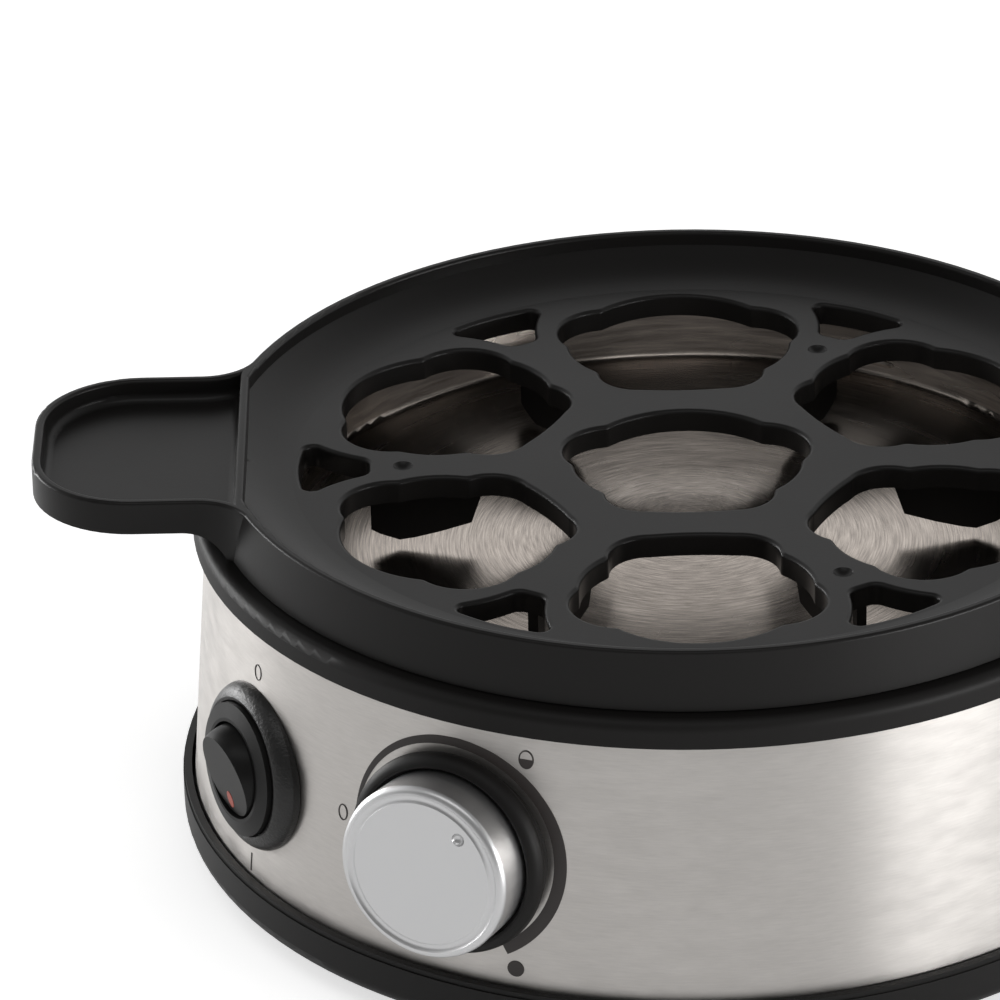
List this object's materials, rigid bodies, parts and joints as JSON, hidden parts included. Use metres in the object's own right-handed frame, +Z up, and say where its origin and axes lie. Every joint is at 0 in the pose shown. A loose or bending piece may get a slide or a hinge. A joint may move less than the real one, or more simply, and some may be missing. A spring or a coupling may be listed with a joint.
{
  "type": "egg boiler",
  "caption": "Round electric egg boiler with a lift-out seated egg tray, a domed heating pan, a steel shell, a dial and a rocker switch.",
  "frame": {"origin": "centre of the plane that the four feet stand on", "axes": "+Z up, +X towards one tray handle so the handles lie along X, -Y towards the front with the dial and the switch"},
  "size_m": [0.234, 0.19, 0.0775],
  "materials": {
    "tray_plastic": "satin black",
    "ring_plastic": "fine matte black",
    "pan_steel": "circular brushed floor, brushed wall",
    "silicone": "matte",
    "spreader_aluminium": "as cast",
    "element_steel": "heat-darkened",
    "zinc_steel": "zinc plated",
    "shield_steel": "galvanised",
    "black_phenolic": "matte",
    "terminal_brass": "plain",
    "shell_steel": "brushed round the shell",
    "base_plastic": "matte",
    "foot_rubber": "matte",
    "cream_nylon": "satin",
    "knob_aluminium": "satin silver",
    "bezel_plastic": "coarse spark grain",
    "switch_plastic": "fine matte",
    "lens_red": "translucent red",
    "board_green": "solder mask",
    "relay_blue": "satin"
  },
  "bodies": {
    "boiler": {"top_ring": "ring_plastic", "heating_pan": "pan_steel", "pan_seal": "silicone", "heat_spreader": "spreader_aluminium", "heating_element": "element_steel", "pan_studs": "zinc_steel", "stud_nuts": "zinc_steel", "heat_shield": "shield_steel", "pan_clamps": "shield_steel", "thermostat": "black_phenolic", "thermostat_bracket": "shield_steel", "thermal_fuse": "spreader_aluminium", "earth_tab": "terminal_brass", "body_shell": "shell_steel", "base_housing": "base_plastic", "rubber_feet": "foot_rubber", "base_screws": "zinc_steel", "terminal_block": "cream_nylon", "dial_collar": "ring_plastic", "pot_nut": "zinc_steel", "potentiometer": "spreader_aluminium", "switch_bezel": "bezel_plastic", "switch_housing": "switch_plastic", "switch_blades": "terminal_brass", "circuit_board": "board_green", "board_screws": "zinc_steel", "buzzer": "black_phenolic", "relay": "relay_blue", "cord_gland": "foot_rubber"},
    "tray": {"egg_tray": "tray_plastic"},
    "dial": {"knob_cap": "knob_aluminium", "knob_core": "base_plastic", "pot_shaft": "spreader_aluminium"},
    "rocker": {"switch_rocker": "switch_plastic", "rocker_lens": "lens_red"}
  },
  "joints": [
    {"name": "tray_lift", "type": "slide", "parent": "boiler", "child": "tray", "axis": [0, 0, 1], "range_m": [0, 0.08]},
    {"name": "dial_turn", "type": "hinge", "parent": "boiler", "child": "dial", "pos_m": [-0.04295, -0.07748, 0.0366], "axis": [-0.4835, -0.8723, 0.0723], "range_deg": [-109, 132]},
    {"name": "rocker_tip", "type": "hinge", "parent": "boiler", "child": "rocker", "pos_m": [-0.08022, -0.04337, 0.03392], "axis": [0.4756, -0.8796, 0], "range_deg": [-31, 0]}
  ]
}
